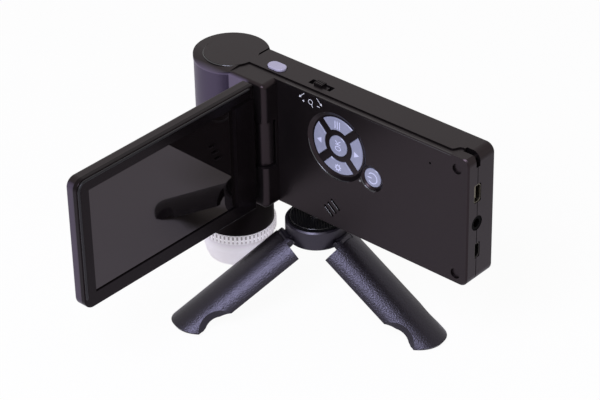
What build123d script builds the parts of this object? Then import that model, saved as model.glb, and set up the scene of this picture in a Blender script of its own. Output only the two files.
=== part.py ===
# Handheld LCD microscope on a small folding tripod.
#
# Origin: the middle of the clear nose's mouth, on the optical axis. +Z is up, +X runs along
# the slab from the barrel to the sockets, and the key face looks towards -Y.
from build123d import *
import os
from math import atan2, cos, degrees, radians, sin, sqrt, tan

os.makedirs("parts", exist_ok=True)

# ---------------------------------------------------------------- driving dimensions, mm
# Slab: the flat housing that holds the electronics
slab_bottom = 37.0        # height of its underside above the nose's mouth
slab_height = 58.0
slab_right = 124.1        # from the optical axis to the socket end
face_y = -4.3             # the key face
slab_depth = 15.9
face_wall = 2.2
wall = 1.6
corner_radius = 3.8       # corners of the socket end, seen from the front
face_edge = 0.6
back_edge = 0.8
top_seam = 2.3            # from the face back to the parting line, along top and bottom
side_seam = 5.5           # the same down the socket end
seam_run = 3.8            # length of the bend between the two
seam_bend = 7.2           # from the socket end to that bend
seam_groove = 0.35        # width and depth of the shadow line along it
seam_depth = 0.7
front_step = 0.6          # the front shell's top lies this much below the rear shell's
weld = 0.2                # overlap of an added solid with the walls round it

# Barrel and its top collar
barrel_radius = 15.3
barrel_wall = 1.6
collar_radius = 15.5
collar_height = 2.0
disc_radius = 11.4        # raised disc, flush with the slab's top
ramp_start = 5.0          # the collar curves down from this far in front of the axis
ramp_drop = 1.5           # to this much lower at its front
lens_bore = 11.2          # radius of the bore that guides the lens carrier
sensor_ledge = 18.0       # height of the sensor board above the slab's underside

# Focus ring and clear nose
ring_gap = 1.0
focus_length = 20.0
neck_wall = 1.2
run_fit = 0.05            # radial clearance of turning and sliding fits
led_board_drop = 17.0     # from the slab's underside down to the lamp board
nose_radius = 14.8
nose_band_radius = 16.2
nose_band_height = 3.8
nose_length = 16.0
nose_mouth_radius = 12.9
nose_wall = 1.5
nose_throat = 4.0         # straight length of the mouth's bore
nose_ribs = 56            # grip ribs round its band
nose_tooth = 0.5          # their height
nose_tooth_width = 0.9
lamp_count = 8

# Hinge block and lid
block_left = 9.7
block_right = 28.4
block_depth = 8.0         # how far it stands out of the face
block_corner = 2.3
block_edge = 1.6          # rounding of its upper and lower front edges
hinge_inset = 5.2         # from the hinge axis to the block's right and front faces
knuckle_radius = 4.3
knuckle_low = 19.3        # height of the lid's knuckle above the slab's underside
knuckle_length = 20.3
hinge_gap = 0.35
pin_radius = 1.5
pin_length = 36.0
lid_angle = 91.0          # opened, from closed over the keys
lid_limit = 104.0         # opened as far as it goes
lid_start = 6.8           # from the hinge axis to the lid's near end
lid_thickness = 6.1
lid_face_gap = 1.6        # from the key face to the closed bezel
lid_over = 0.8            # reach of the closed lid beyond the socket end
lid_inset = 0.3           # its top below the slab's
lid_corner = 4.2
lid_back_edge = 1.2
lid_front_edge = 0.5
lid_wall = 1.2
spine_rise = 1.2
window_length = 77.4
window_end = 6.0
window_top = 5.7
window_bottom = 6.1
panel_margin = 1.0        # of the panel beyond the window on each side
window_recess = 0.6
glass_thickness = 1.0
panel_gap = 0.3
glass_margin = 1.5        # of the glass beyond the window on each side

# Keys on the face, placed from the optical axis and the slab's underside
pad_x = 59.0
pad_z = 38.2
pad_radius = 12.5
pad_hub = 7.0
pad_arm = 3.6
pad_dish = 15.0
dish_depth = 1.0
ok_radius = 4.5
power_x = 76.6
power_z = 30.7
power_radius = 4.1
power_dish = 5.7
key_proud = 0.25          # above the floor of its dish
key_gap = 0.25
key_travel = 0.5
key_edge = 0.2
key_flange = 0.8
key_flange_width = 0.7
stem_size = 2.6           # square stems under the keys
switch_size = 4.6
switch_gap = 0.1          # left between a pressed key and its switch

# Small things on the face
lamp_x = 70.9
lamp_z = 27.5
lamp_radius = 0.55
mic_x = 105.6
mic_z = 49.5
mic_hole = 0.5
screw_radius = 2.2
plug_recess = 0.9
well_depth = 1.5
screw_inset = 5.6
screw_low = 4.6
screw_high = 6.0
slit_x = 56.2
slit_z = 8.8
slit_length = 6.0
slit_width = 1.1
slit_pitch = 2.7
slit_tilt = -40.0
speaker_radius = 6.4

# Strap slot at the upper corner of the socket end
strap_along = 6.4         # its reach along the top, from the socket end
strap_down = 5.6          # and down the socket end
strap_in = 4.4
strap_width = 2.4
strap_shift = 0.3         # its middle, behind the end's parting line
strap_post = 2.5          # post, from the top and from the socket end
strap_post_radius = 0.8
strap_block = 8.2         # solid corner around it
strap_wall = 1.2

# Top controls
snap_x = 22.6
snap_y = 2.3
snap_length = 8.4
snap_width = 5.2
snap_proud = 0.7
snap_travel = 0.6
zoom_x = 45.6
zoom_y = 2.6
zoom_slot = 11.2
zoom_width = 3.3
zoom_knob = 4.0
zoom_travel = 1.5
zoom_proud = 1.0

# Boards and sockets
board_y = 3.3             # front face of the main board
board_thickness = 1.0
board_left = 17.8
board_margin = 1.2
usb_z = 40.8
usb_width = 7.7
usb_height = 3.9
jack_z = 27.4
jack_y = 1.3
jack_radius = 3.0
jack_bore = 1.8
hdmi_z = 14.8
hdmi_width = 6.5
hdmi_height = 2.9
port_gap = 0.15
port_wall = 0.3
port_corner = 0.9         # cut-off corners of the metal shells
battery_left = 52.0
battery_length = 52.0
battery_low = 14.0        # room left under the battery for the card socket
battery_high = 6.0        # and above it for the top controls
battery_thickness = 4.4
card_x = 98.0

# Tripod
tripod_x = 41.1
tripod_y = 3.35
head_radius = 12.9
base_radius = 12.7
head_drop = 4.75          # from the slab's underside to the pad
head_height = 9.45
pad_thickness = 1.3
cap_height = 1.5
head_edge = 0.6
screw_thread = 3.15
insert_radius = 4.6
insert_height = 8.0
leg_azimuths = (-116.0, 4.0, 124.0)
leg_slopes = (31.5, 33.5, 31.5)    # below level, as splayed: front, side and rear
pivot_radius = 14.0
pivot_drop = 11.9
leg_radius = 12.0
leg_wall = 2.6
leg_span = 128.0          # degrees of the tube that one leg takes
sole_place = 52.0         # the level sole starts this far from the pivot
sole_depth = 3.0          # and this far below it
leg_length = 56.2
leg_crest = 2.2           # leg surface above its pivot
leg_start = 1.0
lug_width = 6.0
ear_gap = 0.2
ear_thickness = 1.8
ear_radius = 1.7
ear_room = 0.35           # between a leg's ears and the flats cut for them in the head
head_room = 0.3           # between a folded leg and the head
leg_pin_radius = 0.75
foot_radius = 11.5        # round foot, seen square to the leg
scallop_place = 44.3      # finger scallops beside the foot, from the pivot
scallop_length = 16.6
scallop_depth = 3.6

# ---------------------------------------------------------------- derived places
slab_top = slab_bottom + slab_height
back_y = face_y + slab_depth
seam_y = face_y + top_seam
side_seam_y = face_y + side_seam
strap_y = side_seam_y + strap_shift
cavity_y = face_y + face_wall
block_y = face_y - block_depth
hinge_x = block_right - hinge_inset
hinge_y = block_y + hinge_inset
lid_face = (face_y - lid_face_gap) - hinge_y      # bezel, from the hinge axis
lid_back = lid_face - lid_thickness
lid_end = slab_right + lid_over - hinge_x
collar_bottom = slab_top - collar_height
ring_top = slab_bottom - ring_gap
ring_bottom = ring_top - focus_length
neck_radius = lens_bore + neck_wall
nose_bottom = ring_bottom - nose_length
led_board_top = slab_bottom - led_board_drop
key_front = face_y + dish_depth - key_proud
key_back = cavity_y + run_fit + key_flange_width
switch_height = board_y - (key_back + 2.2)
stem_tip = board_y - switch_height - key_travel - switch_gap
pad_center = (pad_x, slab_bottom + pad_z)
power_center = (power_x, slab_bottom + power_z)
head_top = slab_bottom - head_drop
head_bottom = head_top - head_height


def plane_at(y):
    """Plane parallel to the key face, looking at -Y, with X right and Z up."""
    return Plane(origin=(0, y, 0), x_dir=(1, 0, 0), z_dir=(0, -1, 0))


def side_plane(x):
    """Plane parallel to the socket end, looking at +X, with Y right and Z up."""
    return Plane(origin=(x, 0, 0), x_dir=(0, 1, 0), z_dir=(1, 0, 0))


def save(builder, name):
    """Labels a finished sub-part and writes it."""
    builder.part.label = name
    export_step(builder.part, f"parts/{name}.step")


# ---------------------------------------------------------------- housing, before the split
screw_points = [
    (slab_right - screw_inset, slab_bottom + screw_low),
    (slab_right - screw_inset, slab_top - screw_high),
]
insert_point = (tripod_x, tripod_y)

with BuildPart() as ramp:
    # What the rounded-off collar lacks in front of the raised disc
    with BuildSketch(side_plane(block_left)):
        with BuildLine():
            TangentArc((-ramp_start, slab_top), (-collar_radius, slab_top - ramp_drop),
                       tangent=(-1, 0))
            Polyline((-collar_radius, slab_top - ramp_drop),
                     (-collar_radius - 1, slab_top - ramp_drop), (-collar_radius - 1, slab_top + 1),
                     (-ramp_start, slab_top + 1), (-ramp_start, slab_top))
        make_face()
    extrude(amount=-(block_left + collar_radius + 1))
    with BuildSketch(Plane.XY.offset(collar_bottom)):
        Circle(disc_radius)
    extrude(amount=2 * collar_height, mode=Mode.SUBTRACT)

with BuildPart() as hinge_block:
    # It stands out of the face beside the barrel
    with BuildSketch(side_plane(block_left)) as block_profile:
        with BuildLine():
            Polyline((block_y, slab_bottom), (face_y + face_wall, slab_bottom),
                     (face_y + face_wall, slab_top - front_step), (block_y, slab_top - front_step),
                     (block_y, slab_bottom))
        make_face()
        fillet(block_profile.vertices().group_by(Axis.X)[0], block_edge)
    extrude(amount=block_right - block_left)
    fillet(hinge_block.edges().filter_by(Axis.Z).group_by(Axis.Y)[0].sort_by(Axis.X)[-1],
           block_corner)

with BuildPart() as housing:
    # Slab, with the socket end's corners rounded
    with BuildSketch(plane_at(back_y)) as outline:
        with BuildLine():
            Polyline((0, slab_bottom), (slab_right, slab_bottom), (slab_right, slab_top),
                     (0, slab_top), (0, slab_bottom))
        make_face()
        fillet(outline.vertices().group_by(Axis.X)[-1], corner_radius)
    extrude(amount=slab_depth)
    fillet(housing.faces().sort_by(Axis.Y)[-1].edges(), back_edge)
    chamfer(housing.faces().sort_by(Axis.Y)[0].edges(), face_edge)

    add(hinge_block.part)

    # The tube takes the barrel's place, and the collar closes it above
    with BuildSketch(Plane.XY.offset(slab_bottom - 1)):
        Circle(barrel_radius)
    extrude(amount=slab_height - collar_height + 1, mode=Mode.SUBTRACT)
    with BuildSketch(Plane.XY.offset(collar_bottom)):
        Circle(collar_radius)
    extrude(amount=collar_height)
    add(ramp.part, mode=Mode.SUBTRACT)

    # Hollow of the slab, clear of the barrel
    with BuildSketch(Plane.XY.offset(slab_bottom + wall)):
        with BuildLine():
            Polyline((0, cavity_y), (slab_right - wall, cavity_y), (slab_right - wall, back_y - wall),
                     (0, back_y - wall), (0, cavity_y))
        make_face()
        Circle(barrel_radius + wall, mode=Mode.SUBTRACT)
    extrude(amount=slab_height - 2 * wall, mode=Mode.SUBTRACT)

    # Solid corner that the strap slot is cut into
    with BuildSketch(plane_at(strap_y - strap_width / 2 - strap_wall)):
        with Locations((slab_right - strap_block, slab_top - strap_block)):
            Rectangle(strap_block - wall + weld, strap_block - wall + weld,
                      align=(Align.MIN, Align.MIN))
    extrude(amount=-(strap_width + 2 * strap_wall))

    # Room for the lid's knuckle and neck in the middle of the block, and the pin's bore
    with BuildSketch(Plane.XY.offset(slab_bottom + knuckle_low - hinge_gap)):
        with Locations((hinge_x, hinge_y)):
            Circle(knuckle_radius + hinge_gap)
        with BuildLine():
            lean = radians(lid_limit - 90)
            neck_left = hinge_x - (hinge_gap - lid_back) / cos(lean)
            neck_front = neck_left - (hinge_inset + 1) * tan(lean)
            neck_back = hinge_y + lid_face + hinge_gap
            Polyline((neck_front, block_y - 1), (block_right + 1, block_y - 1),
                     (block_right + 1, neck_back), (hinge_x, neck_back), (neck_left, hinge_y),
                     (neck_front, block_y - 1))
        make_face()
    extrude(amount=knuckle_length + 2 * hinge_gap, mode=Mode.SUBTRACT)
    pin_bottom = slab_bottom + knuckle_low + (knuckle_length - pin_length) / 2
    with BuildSketch(Plane.XY.offset(pin_bottom)):
        with Locations((hinge_x, hinge_y)):
            Circle(pin_radius)
    extrude(amount=pin_length, mode=Mode.SUBTRACT)

    # Shallow dishes round the pad and the power key
    for center, outer, inner in (
        (pad_center, pad_dish, pad_radius + 0.8),
        (power_center, power_dish, power_radius + 0.5),
    ):
        with BuildSketch(plane_at(face_y)):
            with Locations(center):
                Circle(outer)
        extrude(amount=-dish_depth, taper=degrees(atan2(outer - inner, dish_depth)),
                mode=Mode.SUBTRACT)

    # Key openings, lamp, microphone, speaker slits and screw wells
    with BuildSketch(plane_at(face_y)):
        with Locations(pad_center):
            Circle(pad_radius + key_gap)
            Circle(pad_hub - key_gap, mode=Mode.SUBTRACT)
            for turn in (45, 135):
                Rectangle(4 * pad_radius, pad_arm - 2 * key_gap, rotation=turn, mode=Mode.SUBTRACT)
            Circle(ok_radius + key_gap)
        with Locations(power_center):
            Circle(power_radius + key_gap)
        with Locations((lamp_x, slab_bottom + lamp_z)):
            Circle(lamp_radius)
        with Locations((mic_x, slab_bottom + mic_z)):
            Circle(mic_hole)
        across = radians(slit_tilt + 90)
        for step in (-1, 0, 1):
            with Locations((slit_x + step * slit_pitch * cos(across),
                            slab_bottom + slit_z + step * slit_pitch * sin(across))):
                SlotOverall(slit_length, slit_width, rotation=slit_tilt)
    extrude(amount=-face_wall, mode=Mode.SUBTRACT)
    with BuildSketch(plane_at(face_y)):
        with Locations(*screw_points):
            Circle(screw_radius)
    extrude(amount=-well_depth, mode=Mode.SUBTRACT)

    # Openings of the top controls
    with BuildSketch(Plane.XY.offset(slab_top)):
        with Locations((snap_x, snap_y)):
            SlotOverall(snap_length + 2 * key_gap, snap_width + 2 * key_gap)
        with Locations((zoom_x, zoom_y)):
            Rectangle(zoom_slot, zoom_width)
    extrude(amount=-wall, mode=Mode.SUBTRACT)

    # Sockets in the end wall
    with BuildSketch(side_plane(slab_right)):
        with Locations((board_y - usb_height / 2, slab_bottom + usb_z)):
            RectangleRounded(usb_height + 2 * port_gap, usb_width + 2 * port_gap, 0.6)
        with Locations((jack_y, slab_bottom + jack_z)):
            Circle(jack_radius + port_gap)
        with Locations((board_y - hdmi_height / 2, slab_bottom + hdmi_z)):
            RectangleRounded(hdmi_height + 2 * port_gap, hdmi_width + 2 * port_gap, 0.6)
    extrude(amount=-wall, mode=Mode.SUBTRACT)

    # Tripod insert and card slot, through the underside
    with BuildSketch(Plane.XY.offset(slab_bottom)):
        with Locations(insert_point):
            Circle(insert_radius)
        with Locations((card_x, board_y + board_thickness + 0.8)):
            Rectangle(12.4, 1.3)
    extrude(amount=wall, mode=Mode.SUBTRACT)

    # Strap slot round the upper corner of the socket end, and the post in it
    with BuildSketch(plane_at(strap_y - strap_width / 2)):
        with BuildLine():
            Polyline((slab_right - strap_along, slab_top + 1),
                     (slab_right - strap_along, slab_top - strap_in),
                     (slab_right - strap_in, slab_top - strap_in),
                     (slab_right - strap_in, slab_top - strap_down),
                     (slab_right + 1, slab_top - strap_down), (slab_right + 1, slab_top + 1),
                     (slab_right - strap_along, slab_top + 1))
        make_face()
        with Locations((slab_right - strap_post, slab_top - strap_post)):
            Circle(strap_post_radius, mode=Mode.SUBTRACT)
    extrude(amount=-strap_width, mode=Mode.SUBTRACT)

# The parting line, seen from above: disc over the barrel, straight run, bend at the end
far = slab_right + 10
with BuildSketch(Plane.XY.offset(slab_bottom - 2)) as rear_region:
    with BuildLine():
        bend_start = slab_right - seam_bend - seam_run
        bend_end = slab_right - seam_bend
        join_x = sqrt(disc_radius**2 - seam_y**2) - 0.6
        Line((join_x, seam_y), (bend_start, seam_y))
        Spline((bend_start, seam_y), (bend_end, side_seam_y), tangents=((1, 0), (1, 0)))
        Polyline((bend_end, side_seam_y), (far, side_seam_y), (far, back_y + 5),
                 (join_x, back_y + 5), (join_x, seam_y))
    make_face()
    Circle(disc_radius)

with BuildSketch(rear_region.workplanes[0]) as seam_strip:
    add(rear_region.sketch)
    add(rear_region.sketch.moved(Location((0, seam_groove, 0))), mode=Mode.SUBTRACT)

with BuildPart() as front_shell:
    add(housing.part)
    extrude(rear_region.sketch, amount=slab_height + 4, mode=Mode.SUBTRACT)
    # Its top lies a step below the rear shell's
    with BuildSketch(Plane.XY.offset(slab_top - front_step)):
        with BuildLine():
            Polyline((block_left, block_y - 1), (far, block_y - 1), (far, back_y),
                     (block_left, back_y), (block_left, block_y - 1))
        make_face()
        Circle(disc_radius, mode=Mode.SUBTRACT)
    extrude(amount=2 * front_step, mode=Mode.SUBTRACT)

with BuildPart() as rear_shell:
    add(housing.part)
    extrude(rear_region.sketch, amount=slab_height + 4, mode=Mode.INTERSECT)
    # Shadow line along the parting, above, below and down the socket end
    extrude(seam_strip.sketch, amount=2 + seam_depth, mode=Mode.SUBTRACT)
    extrude(seam_strip.sketch.moved(Location((0, 0, slab_height + 2 - seam_depth))),
            amount=2 + seam_depth, mode=Mode.SUBTRACT)
    with BuildSketch(Plane.XY.offset(slab_bottom - 2)):
        add(seam_strip.sketch)
        with Locations((slab_right - seam_depth, side_seam_y)):
            Rectangle(10, 4 * seam_groove, align=(Align.MIN, Align.CENTER), mode=Mode.INTERSECT)
    extrude(amount=slab_height + 4, mode=Mode.SUBTRACT)

save(front_shell, "front_shell")
save(rear_shell, "rear_shell")

# ---------------------------------------------------------------- barrel, focus ring, nose
ledge = slab_bottom + sensor_ledge
with BuildPart() as barrel_tube:
    with BuildSketch(Plane.XZ):
        with BuildLine():
            Polyline((lens_bore, led_board_top), (neck_radius, led_board_top),
                     (neck_radius, ring_top), (barrel_radius, ring_top),
                     (barrel_radius, collar_bottom), (barrel_radius - barrel_wall, collar_bottom),
                     (barrel_radius - barrel_wall, ledge), (lens_bore, ledge),
                     (lens_bore, led_board_top))
        make_face()
    revolve(axis=Axis.Z)
save(barrel_tube, "barrel_tube")

with BuildPart() as focus_ring:
    with BuildSketch(Plane.XZ):
        with BuildLine():
            Polyline((neck_radius + run_fit, ring_bottom), (barrel_radius, ring_bottom),
                     (barrel_radius, ring_top - 0.2), (neck_radius + run_fit, ring_top - 0.2),
                     (neck_radius + run_fit, ring_bottom))
        make_face()
    revolve(axis=Axis.Z)
save(focus_ring, "focus_ring")

band_bottom = ring_bottom - nose_band_height
lamp_board_thickness = 1.2
nose_top = led_board_top - lamp_board_thickness
with BuildPart() as nose_cap:
    with BuildSketch(Plane.XZ):
        with BuildLine():
            Polyline((neck_radius - nose_wall, nose_top), (neck_radius, nose_top),
                     (neck_radius, ring_bottom), (nose_radius, ring_bottom),
                     (nose_radius, nose_bottom + 7),
                     (nose_mouth_radius + 0.9, nose_bottom + 2.2), (nose_mouth_radius, nose_bottom),
                     (nose_mouth_radius - nose_wall, nose_bottom),
                     (nose_mouth_radius - nose_wall, nose_bottom + nose_throat),
                     (nose_radius - nose_wall, band_bottom),
                     (neck_radius - nose_wall, band_bottom + 2.2),
                     (neck_radius - nose_wall, nose_top))
        make_face()
    revolve(axis=Axis.Z)
    # Toothed band
    with BuildSketch(Plane.XY.offset(band_bottom)):
        RegularPolygon(nose_band_radius - nose_tooth, nose_ribs)
        with PolarLocations(nose_band_radius - nose_tooth, nose_ribs):
            Rectangle(2 * nose_tooth, nose_tooth_width)
        Circle(nose_radius - weld, mode=Mode.SUBTRACT)
    extrude(amount=nose_band_height)
save(nose_cap, "nose_cap")

with BuildPart() as lamp_board:
    with BuildSketch(Plane.XY.offset(led_board_top)):
        Circle(neck_radius - 0.2)
        Circle(6.2, mode=Mode.SUBTRACT)
    extrude(amount=-lamp_board_thickness)
save(lamp_board, "lamp_board")

with BuildPart() as ring_lamps:
    with BuildSketch(Plane.XY.offset(led_board_top - lamp_board_thickness)):
        with PolarLocations(8.9, lamp_count):
            Rectangle(2.8, 2.8)
    extrude(amount=-1.0)
save(ring_lamps, "ring_lamps")

# Lens carrier: a cell that slides in the neck's bore
carrier_bottom = slab_bottom - 8.0
carrier_length = 14.0
lens_radius = 5.5
with BuildPart() as lens_carrier:
    with BuildSketch(Plane.XZ):
        slide_radius = lens_bore - run_fit
        with BuildLine():
            Polyline((lens_radius - 0.9, carrier_bottom), (slide_radius - 3, carrier_bottom),
                     (slide_radius - 3, carrier_bottom + 3), (slide_radius, carrier_bottom + 3),
                     (slide_radius, carrier_bottom + carrier_length),
                     (slide_radius - 1.5, carrier_bottom + carrier_length),
                     (slide_radius - 1.5, carrier_bottom + 5.5), (lens_radius, carrier_bottom + 5.5),
                     (lens_radius, carrier_bottom + 1), (lens_radius - 0.9, carrier_bottom + 1),
                     (lens_radius - 0.9, carrier_bottom))
        make_face()
    revolve(axis=Axis.Z)
save(lens_carrier, "lens_carrier")


def sag(x, radius):
    """Drop of a spherical surface of the given radius at distance x from its axis."""
    return radius - sqrt(radius**2 - x**2)


lens_seat = carrier_bottom + 1.0
lens_curve = 60.0
lens_crown = lens_seat + 3.0 + sag(lens_radius, lens_curve)
with BuildPart() as objective_lens:
    with BuildSketch(Plane.XZ):
        with BuildLine():
            Line((0, lens_seat), (0, lens_crown))
            ThreePointArc((0, lens_crown),
                          (lens_radius / 2, lens_crown - sag(lens_radius / 2, lens_curve)),
                          (lens_radius, lens_seat + 3.0))
            Polyline((lens_radius, lens_seat + 3.0), (lens_radius, lens_seat), (0, lens_seat))
        make_face()
    revolve(axis=Axis.Z)
save(objective_lens, "objective_lens")

with BuildPart() as sensor_board:
    with BuildSketch(Plane.XY.offset(ledge)):
        Circle(barrel_radius - barrel_wall - 0.1)
    extrude(amount=1.2)
save(sensor_board, "sensor_board")

with BuildPart() as image_sensor:
    with BuildSketch(Plane.XY.offset(ledge)):
        Rectangle(9.0, 8.0)
    extrude(amount=-1.4)
save(image_sensor, "image_sensor")

# ---------------------------------------------------------------- keys on the face

key_names = ("right", "up", "left", "down")
stem_centers = []
for quarter, key_name in enumerate(key_names):
    heading = radians(90 * quarter)
    stem_ring = (pad_radius + pad_hub) / 2
    stem_center = (pad_center[0] + stem_ring * cos(heading), pad_center[1] + stem_ring * sin(heading))
    stem_centers.append(stem_center)
    quadrant = 2 * pad_dish
    quadrant_center = (pad_center[0] + quadrant / sqrt(2) * cos(heading),
                       pad_center[1] + quadrant / sqrt(2) * sin(heading))
    with BuildPart() as sector_key:
        for grow, start, depth in (
            (0.0, key_front, key_back - key_flange_width - key_front),
            (key_flange, key_back - key_flange_width, key_flange_width),
        ):
            with BuildSketch(plane_at(start)):
                with Locations(pad_center):
                    Circle(pad_radius + grow)
                    Circle(pad_hub - grow, mode=Mode.SUBTRACT)
                    for turn in (45, 135):
                        Rectangle(4 * pad_radius, pad_arm - 2 * grow, rotation=turn,
                                  mode=Mode.SUBTRACT)
                with Locations(quadrant_center):
                    Rectangle(quadrant, quadrant, rotation=45, mode=Mode.INTERSECT)
            extrude(amount=-depth)
        chamfer(sector_key.faces().sort_by(Axis.Y)[0].edges(), key_edge)
        with BuildSketch(plane_at(key_back)):
            with Locations(stem_center):
                Rectangle(stem_size, stem_size)
        extrude(amount=-(stem_tip - key_back))
    save(sector_key, f"key_{key_name}")

for round_name, center, radius in (
    ("key_ok", pad_center, ok_radius),
    ("power_key", power_center, power_radius),
):
    stem_centers.append(center)
    with BuildPart() as round_key:
        with BuildSketch(plane_at(key_front)):
            with Locations(center):
                Circle(radius)
        extrude(amount=-(key_back - key_flange_width - key_front))
        chamfer(round_key.faces().sort_by(Axis.Y)[0].edges(), key_edge)
        with BuildSketch(plane_at(key_back - key_flange_width)):
            with Locations(center):
                Circle(radius + key_flange)
        extrude(amount=-key_flange_width)
        with BuildSketch(plane_at(key_back)):
            with Locations(center):
                Rectangle(stem_size, stem_size)
        extrude(amount=-(stem_tip - key_back))
    save(round_key, round_name)

# ---------------------------------------------------------------- top controls
under_top = slab_top - wall - run_fit
snap_stem_bottom = under_top - 2.4
with BuildPart() as snap_button:
    with BuildSketch(Plane.XY.offset(under_top)):
        with Locations((snap_x, snap_y)):
            SlotOverall(snap_length, snap_width)
    extrude(amount=wall + run_fit + snap_proud)
    chamfer(snap_button.faces().sort_by(Axis.Z)[-1].edges(), key_edge)
    with BuildSketch(Plane.XY.offset(under_top)):
        with Locations((snap_x, snap_y)):
            SlotOverall(snap_length + 2 * key_flange, snap_width + 2 * key_flange)
    extrude(amount=-1.0)
    with BuildSketch(Plane.XY.offset(under_top - 1.0)):
        with Locations((snap_x, board_y - 1.8)):
            Rectangle(stem_size, stem_size)
    extrude(amount=-(under_top - 1.0 - snap_stem_bottom))
save(snap_button, "snap_button")

zoom_fit = 0.1
with BuildPart() as zoom_lever:
    knob_x = zoom_x - 0.3
    with BuildSketch(Plane.XY.offset(under_top)):
        with Locations((zoom_x, zoom_y)):
            Rectangle(zoom_slot + 2 * zoom_travel + 1.6, zoom_width + 2.4)
    extrude(amount=-0.9)
    with BuildSketch(Plane.XY.offset(under_top)):
        with Locations((knob_x, zoom_y)):
            Rectangle(zoom_knob + 3.4, zoom_width - 2 * zoom_fit)
    extrude(amount=wall - 0.5)
    with BuildSketch(Plane.XY.offset(slab_top - 0.6)):
        with Locations((knob_x - 0.4, zoom_y)):
            Rectangle(zoom_knob, zoom_width - 2 * zoom_fit)
    extrude(amount=0.6 + zoom_proud)
    with BuildSketch(Plane.XY.offset(slab_top + zoom_proud)):
        with Locations((knob_x - 0.4, zoom_y)):
            with GridLocations(1.0, 1, 4, 1):
                Rectangle(0.4, zoom_width)
    extrude(amount=-0.4, mode=Mode.SUBTRACT)
    with BuildSketch(Plane.XY.offset(under_top - 0.9)):
        with Locations((zoom_x, board_y - 1.9)):
            Rectangle(1.6, 1.6)
    extrude(amount=-1.2)
save(zoom_lever, "zoom_lever")

# ---------------------------------------------------------------- electronics
board_top = slab_top - wall - board_margin - 2.0
board_bottom = slab_bottom + wall + board_margin
board_right = slab_right - wall - 0.3
with BuildPart() as main_board:
    with BuildSketch(plane_at(board_y)):
        with BuildLine():
            Polyline((board_left, board_bottom), (board_right, board_bottom),
                     (board_right, board_top), (board_left, board_top), (board_left, board_bottom))
        make_face()
        with Locations((tripod_x, slab_bottom)):
            Rectangle(2 * insert_radius + 2, 2 * insert_height + 2, mode=Mode.SUBTRACT)
        with Locations(*screw_points):
            Rectangle(2 * screw_radius + 2, 2 * screw_radius + 2, mode=Mode.SUBTRACT)
        with Locations((slab_right, slab_top)):
            Rectangle(2 * strap_block + 1, 2 * strap_block + 1, mode=Mode.SUBTRACT)
    extrude(amount=-board_thickness)
save(main_board, "main_board")

switch_y = board_y - switch_height
with BuildPart() as tact_switches:
    with BuildSketch(plane_at(board_y)):
        with Locations(*stem_centers):
            Rectangle(switch_size, switch_size)
    extrude(amount=switch_height)
    with BuildSketch(Plane.XY.offset(board_top - 4.4)):
        with Locations((snap_x, board_y - 1.8)):
            Rectangle(5.4, 3.6)
    extrude(amount=snap_stem_bottom - snap_travel - switch_gap - (board_top - 4.4))
save(tact_switches, "tact_switches")

with BuildPart() as zoom_switch:
    with BuildSketch(Plane.XY.offset(board_top - 4.0)):
        with Locations((zoom_x, board_y - 1.9)):
            Rectangle(8.4, 3.8)
    extrude(amount=under_top - 0.9 - 0.2 - (board_top - 4.0))
    with BuildSketch(Plane.XY.offset(under_top - 1.1)):
        with Locations((zoom_x, board_y - 1.9)):
            Rectangle(1.6 + 2 * zoom_travel + 0.4, 1.8)
    extrude(amount=-1.4, mode=Mode.SUBTRACT)
save(zoom_switch, "zoom_switch")

with BuildPart() as speaker:
    with BuildSketch(plane_at(cavity_y)):
        with Locations((slit_x, slab_bottom + slit_z)):
            Circle(speaker_radius)
    extrude(amount=-2.6)
    with BuildSketch(plane_at(cavity_y + 2.6)):
        with Locations((slit_x, slab_bottom + slit_z)):
            Circle(speaker_radius - 2.2)
    extrude(amount=-1.2)
save(speaker, "speaker")

with BuildPart() as microphone:
    with BuildSketch(plane_at(cavity_y)):
        with Locations((mic_x, slab_bottom + mic_z)):
            Circle(2.0)
    extrude(amount=-1.5)
save(microphone, "microphone")

with BuildPart() as status_lamp:
    with BuildSketch(plane_at(face_y - 0.05)):
        with Locations((lamp_x, slab_bottom + lamp_z)):
            Circle(lamp_radius - 0.03)
    extrude(amount=-(board_y - face_y + 0.05))
save(status_lamp, "status_lamp")

with BuildPart() as battery:
    with BuildSketch(plane_at(board_y + board_thickness)):
        with Locations((battery_left, slab_bottom + battery_low)):
            Rectangle(battery_length, slab_height - battery_low - battery_high,
                      align=(Align.MIN, Align.MIN))
    extrude(amount=-battery_thickness)
save(battery, "battery")

with BuildPart() as card_socket:
    card_y = board_y + board_thickness
    with BuildSketch(plane_at(card_y)):
        with Locations((card_x, slab_bottom + wall + 6.5)):
            Rectangle(14.0, 11.0)
    extrude(amount=-1.8)
    with BuildSketch(Plane.XY.offset(slab_bottom + wall + 1.0)):
        with Locations((card_x, card_y + 0.8)):
            Rectangle(11.2, 0.9)
    extrude(amount=10.0, mode=Mode.SUBTRACT)
save(card_socket, "card_socket")

# Sockets: a folded metal shell each, with its tongue
for port_name, port_z, width, height, length in (
    ("usb_socket", usb_z, usb_width, usb_height, 9.2),
    ("hdmi_socket", hdmi_z, hdmi_width, hdmi_height, 7.6),
):
    port_y = board_y - height / 2
    with BuildPart() as port:
        with BuildSketch(side_plane(slab_right - 0.2)) as shell_outline:
            with Locations((port_y, slab_bottom + port_z)):
                Rectangle(height, width)
            chamfer(shell_outline.vertices().group_by(Axis.X)[-1], port_corner)
        extrude(amount=-length)
        with BuildSketch(side_plane(slab_right - 0.2)) as shell_mouth:
            with Locations((port_y, slab_bottom + port_z)):
                Rectangle(height - 2 * port_wall, width - 2 * port_wall)
            chamfer(shell_mouth.vertices().group_by(Axis.X)[-1], port_corner - port_wall / 2)
        extrude(amount=-(length - 1.2), mode=Mode.SUBTRACT)
        with BuildSketch(side_plane(slab_right - 1.2)):
            with Locations((port_y, slab_bottom + port_z)):
                Rectangle(0.7, width - 2.6)
        extrude(amount=-(length - 2.0))
    save(port, port_name)

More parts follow.
